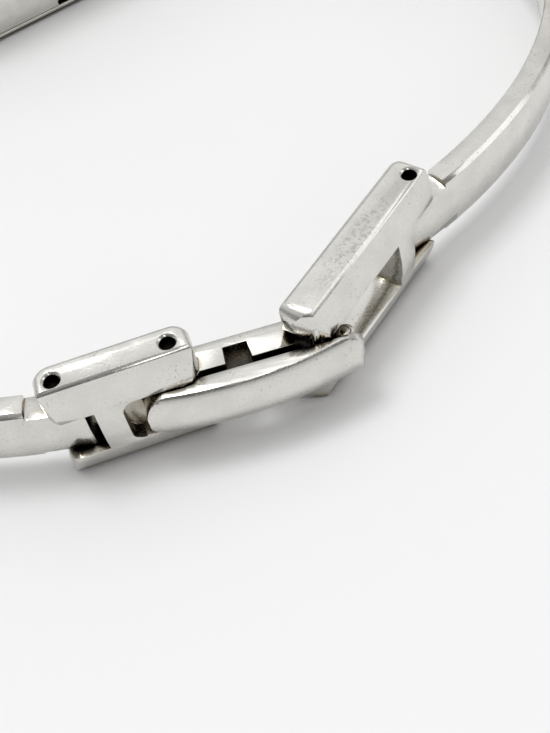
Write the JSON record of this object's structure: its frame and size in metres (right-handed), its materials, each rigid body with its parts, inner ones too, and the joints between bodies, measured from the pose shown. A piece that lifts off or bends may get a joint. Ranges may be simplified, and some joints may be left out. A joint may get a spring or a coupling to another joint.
{
  "type": "bangle watch",
  "caption": "Small rectangular quartz watch on a rigid two-arm bangle with a folding link clasp, a hinged cover and a latch bar, lying on its case flank.",
  "frame": {"origin": "middle of the flat case flank that the watch lies on, at nine o'clock", "axes": "+X along the strap at the case towards twelve o'clock, +Y out through the dial, +Z across the band, up, towards the crown"},
  "size_m": [0.0706, 0.0608, 0.0165],
  "materials": {
    "polished_steel": "polished, fine wear scratches",
    "dark_pin": "dull, darkened in its hole",
    "crystal_glass": "clear",
    "gasket_rubber": "matt",
    "dial_white": "satin",
    "dark_metal": "polished",
    "holder_plastic": "matt",
    "gilt_brass": "satin",
    "cell_steel": "satin",
    "copper_wire": "lacquered",
    "soft_iron": "matt",
    "rotor_metal": "satin",
    "board_green": "matt",
    "chip_black": "matt",
    "can_metal": "satin"
  },
  "bodies": {
    "watch_case": {"case_middle": "polished_steel", "case_back": "polished_steel", "back_gasket": "gasket_rubber", "crystal": "crystal_glass", "crystal_gasket": "gasket_rubber", "dial": "dial_white", "hour_markers": "dark_metal", "movement_holder": "holder_plastic", "main_plate": "gilt_brass", "train_bridge": "gilt_brass", "movement_screws": "polished_steel", "battery": "cell_steel", "battery_contact": "gilt_brass", "circuit_board": "board_green", "driver_chip": "chip_black", "quartz_oscillator": "can_metal", "coil_winding": "copper_wire", "coil_core": "soft_iron", "stator": "soft_iron", "crown_tube": "polished_steel", "left_lug_pin": "dark_pin", "right_lug_pin": "dark_pin"},
    "left_arm": {"left_arm": "polished_steel"},
    "left_link": {"left_link": "polished_steel", "left_arm_pin": "dark_pin", "rail_pin": "dark_pin"},
    "clasp_rail": {"clasp_rail": "polished_steel", "cover_pin": "polished_steel"},
    "clasp_cover": {"clasp_cover": "polished_steel"},
    "right_arm": {"right_arm": "polished_steel"},
    "right_link": {"right_link": "polished_steel", "right_arm_pin": "dark_pin"},
    "setting_lever": {"setting_lever": "polished_steel"},
    "crown": {"crown": "polished_steel", "stem": "polished_steel", "crown_gasket": "gasket_rubber"},
    "minute_hand": {"minute_hand": "dark_metal", "cannon_pinion": "gilt_brass", "center_wheel": "gilt_brass"},
    "hour_hand": {"hour_hand": "dark_metal", "hour_wheel": "gilt_brass"},
    "minute_wheel": {"minute_wheel": "gilt_brass"},
    "third_wheel": {"third_wheel": "gilt_brass"},
    "intermediate_wheel": {"intermediate_wheel": "gilt_brass"},
    "rotor": {"rotor": "rotor_metal"}
  },
  "joints": [
    {"name": "left_arm_pivot", "type": "hinge", "parent": "watch_case", "child": "left_arm", "pos_m": [-0.0125, -0.0026, 0.0073], "axis": [0, 0, 1], "range_deg": [-0.44, 0]},
    {"name": "left_link_pivot", "type": "hinge", "parent": "left_arm", "child": "left_link", "pos_m": [-0.0207, -0.05047, 0.0073], "axis": [0, 0, 1], "range_deg": [0, 0.88]},
    {"name": "rail_pivot", "type": "hinge", "parent": "left_link", "child": "clasp_rail", "pos_m": [-0.01395, -0.05232, 0.0073], "axis": [0, 0, 1], "range_deg": [0, 6.38]},
    {"name": "cover_hinge", "type": "hinge", "parent": "clasp_rail", "child": "clasp_cover", "pos_m": [-0.00426, -0.05598, 0.0073], "axis": [0, 0, 1], "range_deg": [0, 110]},
    {"name": "right_arm_pivot", "type": "hinge", "parent": "watch_case", "child": "right_arm", "pos_m": [0.0125, -0.0026, 0.0073], "axis": [0, 0, 1], "range_deg": [0, 0.44]},
    {"name": "right_link_pivot", "type": "hinge", "parent": "right_arm", "child": "right_link", "pos_m": [0.00467, -0.05053, 0.0073], "axis": [0, 0, 1], "range_deg": [0, 9.9]},
    {"name": "crown_pull", "type": "slide", "parent": "watch_case", "child": "setting_lever", "axis": [0, 0, 1], "range_m": [0, 0.0006]},
    {"name": "crown_turn", "type": "hinge", "parent": "setting_lever", "child": "crown", "pos_m": [0, -0.00055, 0.0156], "axis": [0, 0, 1], "continuous": true},
    {"name": "minute_hand_turn", "type": "hinge", "parent": "watch_case", "child": "minute_hand", "pos_m": [0, 0, 0.0073], "axis": [0, -1, 0], "continuous": true},
    {"name": "hour_hand_turn", "type": "hinge", "parent": "watch_case", "child": "hour_hand", "pos_m": [0, 0, 0.0073], "axis": [0, -1, 0], "continuous": true},
    {"name": "minute_wheel_turn", "type": "hinge", "parent": "watch_case", "child": "minute_wheel", "pos_m": [-0.00169, 0.0002, 0.00668], "axis": [0, -1, 0], "continuous": true},
    {"name": "third_wheel_turn", "type": "hinge", "parent": "watch_case", "child": "third_wheel", "pos_m": [0.0019, -0.0015, 0.00668], "axis": [0, -1, 0], "continuous": true},
    {"name": "intermediate_wheel_turn", "type": "hinge", "parent": "watch_case", "child": "intermediate_wheel", "pos_m": [0.00335, -0.0015, 0.00736], "axis": [0, -1, 0], "continuous": true},
    {"name": "rotor_turn", "type": "hinge", "parent": "watch_case", "child": "rotor", "pos_m": [0.00427, -0.0015, 0.00867], "axis": [0, -1, 0], "continuous": true}
  ],
  "couplings": [
    {"joint": "right_link_pivot", "follows": "cover_hinge", "ratio": 0.09},
    {"joint": "rail_pivot", "follows": "cover_hinge", "ratio": 0.058},
    {"joint": "left_link_pivot", "follows": "cover_hinge", "ratio": 0.008},
    {"joint": "left_arm_pivot", "follows": "cover_hinge", "ratio": -0.004},
    {"joint": "right_arm_pivot", "follows": "cover_hinge", "ratio": 0.004},
    {"joint": "hour_hand_turn", "follows": "minute_hand_turn", "ratio": 0.083333},
    {"joint": "minute_wheel_turn", "follows": "minute_hand_turn", "ratio": -0.33333},
    {"joint": "third_wheel_turn", "follows": "minute_hand_turn", "ratio": -4},
    {"joint": "intermediate_wheel_turn", "follows": "minute_hand_turn", "ratio": 12},
    {"joint": "rotor_turn", "follows": "minute_hand_turn", "ratio": -36}
  ]
}
